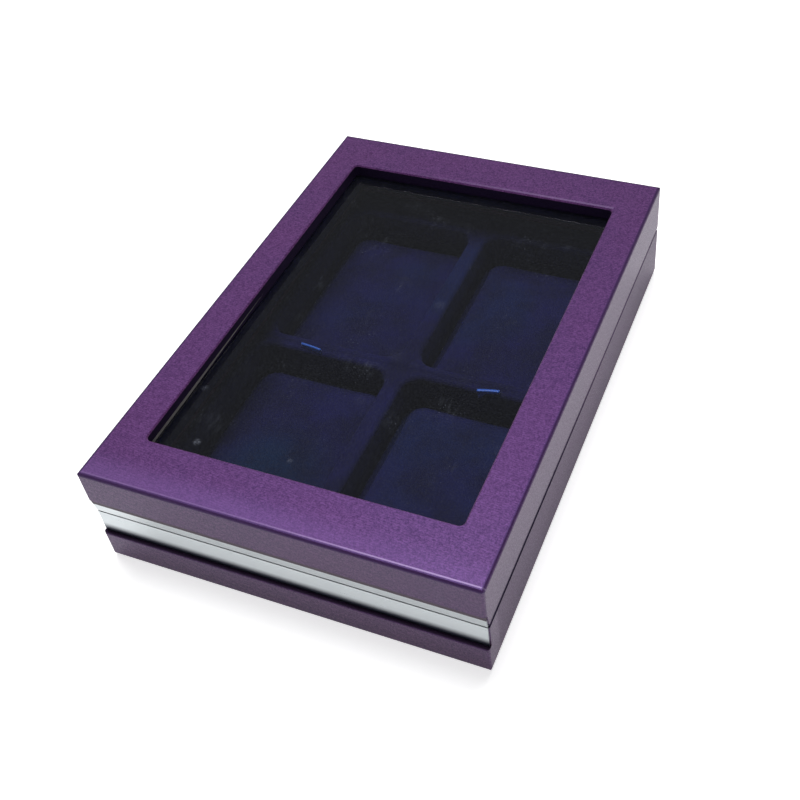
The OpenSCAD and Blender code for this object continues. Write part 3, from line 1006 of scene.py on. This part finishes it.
@dataclass
class VelvetTray:
    """The velvet-covered tray with four wells and the cross between them.

    Attributes:
        velvet: Its finish.
        side_rim: Width of the rim at each side.
        front_rim: Width of the rim at the front.
        back_rim: Width of the rim at the back.
        divider: Width of the two bars of the cross.
        corner: Radius of the wells' corners.
        corner_steps: Steps round a corner.
        mouth: Radius over the wells' upper edges.
        mouth_steps: Steps over an edge.
        low: The tray's lowest corner.
        high: Its highest corner.
    """

    velvet: bpy.types.Material
    side_rim: float = 2.7 * MM
    front_rim: float = 4.8 * MM
    back_rim: float = 11.8 * MM
    divider: float = 6 * MM
    corner: float = 6 * MM
    corner_steps: int = 8
    mouth: float = 1.5 * MM
    mouth_steps: int = 8
    low: Vector = field(init=False)
    high: Vector = field(init=False)

    def __post_init__(self) -> None:
        """Reads the tray's place from the frame and works out the wells."""
        low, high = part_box("tray")
        self.low, self.high = Vector(low), Vector(high)
        span = self.high - self.low
        self.well_w = (span.x - 2 * self.side_rim - self.divider) / 2
        self.well_d = (span.y - self.front_rim - self.back_rim - self.divider) / 2
        self.mid_x = (self.low.x + self.high.x) / 2
        self.cross_y = self.low.y + self.front_rim + self.well_d + self.divider / 2

    def wells(self) -> list[Well]:
        """Lays out the wells.

        Returns:
            The four wells, with the nodes of their pads.
        """
        found = []
        for end, side_y in (("front", -1), ("back", 1)):
            for side, side_x in (("left", -1), ("right", 1)):
                x = self.mid_x + side_x * (self.divider + self.well_w) / 2
                y = self.cross_y + side_y * (self.divider + self.well_d) / 2
                found.append(Well(f"{end}_{side}", x, y, f"{end}_{side}_pad"))
        return found

    def profile(self) -> list[tuple[float, float]]:
        """Works out the rings around a well, from the foot up.

        Returns:
            How far out from the well's wall and how high each ring lies.
        """
        rings = [(0.0, self.low.z), (0.0, (self.low.z + self.high.z) / 2), (0.0, self.high.z - self.mouth)]
        for step in range(1, self.mouth_steps + 1):
            angle = math.radians(90 * step / self.mouth_steps)
            out = self.mouth * (1 - math.cos(angle))
            rings.append((out, self.high.z - self.mouth + self.mouth * math.sin(angle)))
        return rings

    def outer_box(self, well: Well) -> tuple[float, float, float, float]:
        """Finds the part of the tray around a well.

        Args:
            well: The well.

        Returns:
            Its low and high edges, in X and then Y.
        """
        edges_x = (self.low.x, self.mid_x) if well.x < self.mid_x else (self.mid_x, self.high.x)
        edges_y = (self.low.y, self.cross_y) if well.y < self.cross_y else (self.cross_y, self.high.y)
        return (*edges_x, *edges_y)

    def build(self) -> bpy.types.Object:
        """Builds the tray as one closed mesh.

        Returns:
            The tray.
        """
        points: list[Point] = []
        faces: list[tuple[int, ...]] = []
        half_w, half_d = self.well_w / 2, self.well_d / 2
        for well in self.wells():
            rings = []
            for out, z in self.profile():
                outline = oval(self.corner_steps, half_w + out, half_d + out, self.corner + out)
                rings.append([(well.x + x, well.y + y, z) for x, y in outline])
            rings.append(self.edge_ring(well, rings[-1], self.high.z))
            rings.append(self.edge_ring(well, rings[0], self.low.z))
            rings.append(rings[0])
            faces.extend(ring_faces(len(rings), len(rings[0]), len(points)))
            points.extend(point for ring in rings for point in ring)
        piece = new_piece("velvet_tray", points, faces, self.velvet)
        LOG.info("tray: %d points", len(piece.data.vertices))
        return piece

    def edge_ring(self, well: Well, ring: Sequence[Point], z: float) -> list[Point]:
        """Carries a well's ring outward, square to the sides, to the edges of its part of the tray.

        Args:
            well: The well.
            ring: A ring of its points.
            z: Height of the carried ring.

        Returns:
            The carried ring.
        """
        x0, x1, y0, y1 = self.outer_box(well)
        straight_w = self.well_w / 2 - self.corner
        straight_d = self.well_d / 2 - self.corner
        carried = []
        for x, y, _ in ring:
            beside = abs(x - well.x) - straight_w
            ahead = abs(y - well.y) - straight_d
            edge_x = x1 if x > well.x else x0
            edge_y = y1 if y > well.y else y0
            if ahead <= 0:
                carried.append((edge_x, y, z))
            elif beside <= 0:
                carried.append((x, edge_y, z))
            else:
                turn = math.atan2(ahead, beside) / (math.pi / 4)
                corner_x = well.x + math.copysign(straight_w, x - well.x)
                corner_y = well.y + math.copysign(straight_d, y - well.y)
                carried.append((
                    corner_x + (edge_x - corner_x) * min(1.0, 2 - turn),
                    corner_y + (edge_y - corner_y) * min(1.0, turn),
                    z,
                ))
        return carried


@dataclass
class Pad:
    """A velvet pad over foam, blown up a little in a cloth simulation.

    Attributes:
        velvet: Its finish.
        play: Room between the pad and the well at each side.
        corner: Radius of its corners.
        corner_steps: Steps round a corner.
        waist: How far its sides are drawn in between the corners.
        shoulder: Share of its height at which it turns over to the crown.
        crown_steps: Rings from there to the middle of the crown.
        voxel: Size of the even mesh that is simulated.
        grow: How many times larger the pad is while it is simulated.
        pressure: Pressure of the foam under the velvet.
        cap: How far a point may move, at real size.
        steps: Frames that are simulated.
    """

    velvet: bpy.types.Material
    play: float = 0.3 * MM
    corner: float = 5.4 * MM
    corner_steps: int = 10
    waist: float = 0.5 * MM
    shoulder: float = 0.62
    crown_steps: int = 14
    voxel: float = 1.1 * MM
    grow: float = 10.0
    pressure: float = 4.0
    cap: float = 0.7 * MM
    steps: int = 20

    def build(self, well: Well) -> bpy.types.Object:
        """Builds the pad of one well.

        Args:
            well: The well that it lies in.

        Returns:
            The pad.
        """
        low, high = (Vector(corner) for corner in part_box(well.pad))
        middle = (low + high) / 2
        half = (high - low) / 2
        outline = oval(self.corner_steps, half.x - self.play, half.y - self.play, self.corner)
        stations = self.stations(high.z - low.z)
        points = [self.point(x, y, share, z, half) for share, z in stations for x, y in outline]
        size = len(outline)
        faces = ring_faces(len(stations), size)
        faces.append(tuple(range(size)))
        faces.append(tuple(range(len(points) - size, len(points))))
        piece = new_piece(f"velvet_pad_{well.name}", points, faces, self.velvet)
        self.puff(piece)
        piece.data.transform(Matrix.Translation((middle.x, middle.y, low.z)))
        LOG.info("pad %s: %d points", well.name, len(piece.data.vertices))
        return piece

    def stations(self, height: float) -> list[tuple[float, float]]:
        """Works out the rings of the pad, from its foot to its crown.

        Args:
            height: Height of the pad.

        Returns:
            Share of the outline and height of each ring.
        """
        edge = self.shoulder * height
        rings = [(0.97, 0.0), (0.995, 0.25 * edge), (1.0, 0.6 * edge), (0.992, 0.9 * edge)]
        for step in range(self.crown_steps):
            share = 0.975 * (1 - step / self.crown_steps)
            rings.append((share, edge + (height - edge) * 0.9 * (1 - share ** 3.0)))
        return rings

    def point(self, x: float, y: float, share: float, z: float, half: Vector) -> Point:
        """A point of a ring, with the sides drawn in between the corners.

        Args:
            x: Its place across, on the outline.
            y: Its place along, on the outline.
            share: Share of the outline that the ring has.
            z: Height of the ring.
            half: Half the size of the pad's node.

        Returns:
            The point, with the pad's middle at 0.
        """
        inner_x = x - math.copysign(self.waist * max(0.0, 1 - (y / half.y) ** 2), x) * abs(x) / half.x
        inner_y = y - math.copysign(self.waist * max(0.0, 1 - (x / half.x) ** 2), y) * abs(y) / half.y
        return (inner_x * share, inner_y * share, z)

    def puff(self, piece: bpy.types.Object) -> None:
        """Remeshes the pad evenly and lets a cloth simulation round it out.

        Args:
            piece: The pad, centred on the origin, with its underside at height 0.
        """
        mesh = piece.data
        mesh.transform(Matrix.Scale(self.grow, 4))
        remesh = piece.modifiers.new("even", "REMESH")
        remesh.mode = "VOXEL"
        remesh.voxel_size = self.voxel * self.grow
        remesh.use_smooth_shade = True
        self.bake_modifiers(piece)
        self.simulate(piece)
        subdivision = piece.modifiers.new("smooth", "SUBSURF")
        subdivision.levels = subdivision.render_levels = 1
        self.bake_modifiers(piece)
        piece.data.transform(Matrix.Scale(1 / self.grow, 4))
        for polygon in piece.data.polygons:
            polygon.use_smooth = True

    def simulate(self, piece: bpy.types.Object) -> None:
        """Runs the cloth simulation and keeps its result, within the cap.

        Args:
            piece: The enlarged pad.
        """
        scene = bpy.context.scene
        start = [vertex.co.copy() for vertex in piece.data.vertices]
        cloth = piece.modifiers.new("cloth", "CLOTH")
        cloth.settings.use_pressure = True
        cloth.settings.uniform_pressure_force = self.pressure
        cloth.settings.effector_weights.gravity = 0.0
        cloth.settings.quality = 5
        cloth.point_cache.frame_start = 1
        cloth.point_cache.frame_end = self.steps
        for frame_number in range(1, self.steps + 1):
            scene.frame_set(frame_number)
        self.bake_modifiers(piece)
        scene.frame_set(1)
        limit = self.cap * self.grow
        for vertex, before in zip(piece.data.vertices, start):
            move = vertex.co - before
            if move.length > limit:
                move *= limit / move.length
            vertex.co = before + move
            vertex.co.z = max(vertex.co.z, 0.0)

    @staticmethod
    def bake_modifiers(piece: bpy.types.Object) -> None:
        """Replaces a piece's mesh by what its modifiers make of it.

        Args:
            piece: The piece, whose modifiers are cleared.
        """
        graph = bpy.context.evaluated_depsgraph_get()
        material = piece.data.materials[0]
        baked = bpy.data.meshes.new_from_object(piece.evaluated_get(graph))
        piece.modifiers.clear()
        piece.data = baked
        if not baked.materials:
            baked.materials.append(material)


@dataclass(frozen=True)
class Stance:
    """How one ribbon tab stands.

    Attributes:
        node: The node that it replaces.
        turn: How far it is turned in plan, in degrees.
        lean: How far its fold leans forward.
        gap: Space between its two layers.
        share: Share of the node's width that it fills.
    """

    node: str
    turn: float
    lean: float
    gap: float
    share: float


@dataclass
class RibbonTab:
    """A folded satin ribbon that stands out of the divider.

    Attributes:
        satin: Its finish.
        thick: Thickness of one layer.
        shift: How far the tabs lie left of the middle of their nodes.
        bow: How far the middle of its fold is bent back.
        columns: Columns of faces across it.
        arc_steps: Steps over its fold.
        stances: How each of the tabs stands.
    """

    satin: bpy.types.Material
    thick: float = 0.35 * MM
    shift: float = -0.9 * MM
    bow: float = 0.12 * MM
    columns: int = 12
    arc_steps: int = 10
    stances: tuple[Stance, ...] = (
        Stance("left_ribbon", turn=-7.2, lean=0.0 * MM, gap=0.1 * MM, share=0.95),
        Stance("right_ribbon", turn=13.0, lean=1.5 * MM, gap=0.7 * MM, share=0.9),
    )

    def build(self, stance: Stance) -> bpy.types.Object:
        """Builds one tab in the place of its node.

        Args:
            stance: How it stands.

        Returns:
            The ribbon tab.
        """
        low, high = (Vector(corner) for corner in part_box(stance.node))
        middle = (low + high) / 2
        rise = high.z - low.z
        outer = self.fold_line(stance.gap / 2 + self.thick, rise)
        inner = self.fold_line(stance.gap / 2, rise - self.thick)
        outline = outer + inner[::-1]
        half_w = stance.share * (high.x - low.x) / 2
        points = []
        for column in range(self.columns + 1):
            across = 2 * column / self.columns - 1
            bow = self.bow * math.cos(across * math.pi / 2)
            for y, z in outline:
                height = z / rise
                points.append((across * half_w, y - stance.lean * height ** 2 + bow * height, low.z + z))
        size = len(outline)
        faces = ring_faces(self.columns + 1, size)
        for first in (0, self.columns * size):
            last = first + size - 1
            for step in range(len(outer) - 1):
                faces.append((first + step, first + step + 1, last - step - 1, last - step))
        piece = new_piece(f"{stance.node}_satin", points, faces, self.satin)
        spin = Matrix.Rotation(math.radians(stance.turn), 4, "Z")
        piece.data.transform(Matrix.Translation((middle.x + self.shift, middle.y, 0)) @ spin)
        LOG.info("%s: %d points", piece.name, len(points))
        return piece

    def fold_line(self, radius: float, rise: float) -> list[tuple[float, float]]:
        """Draws one face of the folded ribbon from the side: up, over and down.

        Args:
            radius: Radius of the fold.
            rise: Height of the fold's top.

        Returns:
            The points of the line, along the box and up.
        """
        arc = [math.radians(180 * step / self.arc_steps) for step in range(self.arc_steps + 1)]
        bend = [(-radius * math.cos(angle), rise - radius + radius * math.sin(angle)) for angle in arc]
        return [(-radius, 0.0), (-radius, rise / 2), *bend, (radius, rise / 2), (radius, 0.0)]


@dataclass
class Case:
    """The case's own nodes, which keep their shapes and get their finishes here.

    Attributes:
        nodes: The frame's nodes by name.
    """

    nodes: dict[str, bpy.types.Object]

    def dress(self, finish: bpy.types.Material, chosen: Iterable[str]) -> None:
        """Gives a finish to nodes.

        Args:
            finish: The material.
            chosen: The names of the nodes.
        """
        names = list(chosen)
        for name in names:
            mesh = self.nodes[name].data
            mesh.materials.clear()
            mesh.materials.append(finish)
        LOG.info("%s: %d nodes", finish.name, len(names))

    def named(self, *endings: str) -> list[str]:
        """The names of the nodes that end in one of the given words."""
        return [name for name in self.nodes if name.endswith(endings)]


@dataclass
class Studio:
    """Floor, light and camera around the box.

    Attributes:
        floor_tone: Colour of the floor.
        floor_glow: Strength of the glow that the floor adds for the eye.
        mirrored_share: Share of that glow in reflections.
        lamp_height: Height of the overhead lamp.
        lamp_size: Its width.
        lamp_power: Its power, in watts.
        lamp_place: Where it hangs, in plan.
        camera_place: Where the camera stands.
        azimuth: Direction of view, in degrees from +Y towards -X.
        elevation: Height of the camera above what it looks at, in degrees.
        roll: Turn of the camera about its own axis, in degrees.
        lens: Focal length, in millimetres.
        sensor: Width of the sensor, in millimetres.
        shift: Shift of the lens.
        near: Distance at which the camera begins to see.
        horizon: Heights between which the world dims, as parts of the unit sphere.
        sky: Strength of the world below and above them.
    """

    floor_tone: Colour = (0.95, 0.95, 0.955)
    floor_glow: float = 0.74
    mirrored_share: float = 0.6
    lamp_height: float = 2.2
    lamp_size: float = 1.4
    lamp_power: float = 50.0
    lamp_place: tuple[float, float] = (-0.34, 0.62)
    camera_place: Point = (0.12525, -0.22323, 0.26509)
    azimuth: float = 24.979
    elevation: float = 44.316
    roll: float = -5.361
    lens: float = 49.814
    sensor: float = 36.0
    shift: tuple[float, float] = (-0.08414, -0.05171)
    near: float = 0.01
    horizon: tuple[float, float] = (0.12, 0.35)
    sky: tuple[float, float] = (0.95, 0.07)

    def build(self) -> None:
        """Adds the floor, the lamp, the world and the camera."""
        self.floor()
        self.lamp()
        self.world()
        self.camera()

    def floor(self) -> None:
        """Adds a wide pale floor that keeps the box's shadow and glows where it is seen."""
        reach = 4.0
        drop = -0.05 * MM
        quarters = ((-1, -1), (1, -1), (1, 1), (-1, 1))
        corners = [(side_x * reach, side_y * reach, drop) for side_x, side_y in quarters]
        shader = Shader("studio_floor")
        matte = shader.node("ShaderNodeBsdfDiffuse", {"Color": self.floor_tone})
        glow = shader.node("ShaderNodeEmission", {"Color": self.floor_tone, "Strength": self.floor_glow})
        dark = shader.node("ShaderNodeEmission", {"Color": self.floor_tone, "Strength": 0.0})
        path = "ShaderNodeLightPath"
        direct = shader.node(path, output="Is Camera Ray")
        through = shader.node(path, output="Is Transmission Ray")
        seen = (direct + through).clipped()
        mirrored = shader.node(path, output="Is Glossy Ray")
        share = seen + mirrored * (1 - seen) * self.mirrored_share
        added = shader.node("ShaderNodeMixShader", {0: share, 1: dark, 2: glow})
        shade = shader.node("ShaderNodeAddShader", {0: matte, 1: added})
        floor = new_piece("studio_floor", corners, [(0, 1, 2, 3)], shader.surface(shade))

    def lamp(self) -> None:
        """Adds one broad soft lamp overhead."""
        lamp = bpy.data.lights.new("overhead_softbox", "AREA")
        lamp.shape = "DISK"
        lamp.size = self.lamp_size
        lamp.energy = self.lamp_power
        holder = bpy.data.objects.new("overhead_softbox", lamp)
        holder.location = (*self.lamp_place, self.lamp_height)
        bpy.context.scene.collection.objects.link(holder)

    def world(self) -> None:
        """Sets a world that is pale near the horizon and dim above it."""
        world = bpy.data.worlds.new("studio_world")
        world.use_nodes = True
        bpy.context.scene.world = world
        nodes = world.node_tree.nodes
        links = world.node_tree.links
        nodes.clear()
        place = nodes.new("ShaderNodeTexCoord")
        split = nodes.new("ShaderNodeSeparateXYZ")
        fade = nodes.new("ShaderNodeMapRange")
        for name, number in zip(("From Min", "From Max", "To Min", "To Max"), self.horizon + self.sky):
            fade.inputs[name].default_value = number
        glow = nodes.new("ShaderNodeBackground")
        glow.inputs["Color"].default_value = (1.0, 1.0, 1.0, 1.0)
        output = nodes.new("ShaderNodeOutputWorld")
        links.new(place.outputs["Generated"], split.inputs[0])
        links.new(split.outputs["Z"], fade.inputs["Value"])
        links.new(fade.outputs[0], glow.inputs["Strength"])
        links.new(glow.outputs[0], output.inputs["Surface"])

    def camera(self) -> None:
        """Adds the camera at the photograph's angle."""
        data = bpy.data.cameras.new("studio_camera")
        data.lens = self.lens
        data.sensor_width = self.sensor
        data.sensor_fit = "HORIZONTAL"
        data.shift_x, data.shift_y = self.shift
        data.clip_start = self.near
        camera = bpy.data.objects.new("studio_camera", data)
        azimuth = math.radians(self.azimuth)
        elevation = math.radians(self.elevation)
        look = Vector((
            -math.sin(azimuth) * math.cos(elevation),
            math.cos(azimuth) * math.cos(elevation),
            -math.sin(elevation),
        ))
        turn = look.to_track_quat("-Z", "Y") @ Quaternion((0, 0, 1), math.radians(self.roll))
        camera.matrix_world = Matrix.LocRotScale(Vector(self.camera_place), turn, None)
        bpy.context.scene.collection.objects.link(camera)
        bpy.context.scene.camera = camera


def dress_case(case: Case) -> None:
    """Gives each of the case's nodes its finish.

    Args:
        case: The case's nodes.
    """
    shaded = ("base_left_wall", "base_right_wall", "base_back_wall")
    case.dress(PearlPaper().build(), (name for name in case.named("_wall") if name not in shaded))
    # Painted shade: the base's side and back walls get a darker, greyer tint on their upright faces.
    base_side_shade = (0.62, 0.68, 0.54)
    dim = PearlPaper(name="purple_base_paper_painted_shade", side_shade_tint=base_side_shade, side_coat=0.04, pearl_index=1.5)
    case.dress(dim.build(), shaded)
    case.dress(PearlPaper(name="purple_window_paper", opening=Opening()).build(), ["lid_frame"])
    case.dress(SilverPaper().build(), case.named("_band"))
    case.dress(ClearPane().build(), ["window_pane"])
    case.dress(Velvet(name="lining_velvet").build(), ["pane_retainer", "lid_lining", "tray_floor"])
    case.dress(PlatedSteel().build(), case.named("_leaf", "_pin", "_screws", "_magnets"))
    board = FibreSheet("bare_board", linear(96, 80, 62), linear(150, 128, 100))
    felt = FibreSheet("black_felt", linear(16, 16, 18), linear(44, 44, 48))
    case.dress(board.build(), ["base_panel"])
    case.dress(felt.build(), ["base_sheet"])


def furnish(tray: VelvetTray, pads: Pad, tabs: RibbonTab) -> None:
    """Builds the tray, its pads and its ribbon tabs, and puts them in the base.

    Args:
        tray: The tray.
        pads: The maker of the pads.
        tabs: The maker of the ribbon tabs.
    """
    piece = tray.build()
    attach(piece, Half.BASE.value)
    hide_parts("tray")
    for well in tray.wells():
        pad = pads.build(well)
        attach(pad, Half.BASE.value)
        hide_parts(well.pad)
    for stance in tabs.stances:
        tab = tabs.build(stance)
        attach(tab, Half.BASE.value)
        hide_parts(stance.node)


def main() -> None:
    """Loads the frame, dresses it and furnishes its inside."""
    logging.basicConfig(level=logging.INFO, format="%(name)s %(message)s")
    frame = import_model()
    bpy.context.scene.view_settings.view_transform = "Standard"
    Studio().build()
    dress_case(Case(frame["nodes"]))
    velvet = Velvet().build()
    furnish(VelvetTray(velvet), Pad(velvet), RibbonTab(Satin().build()))


if __name__ == "__main__":
    main()
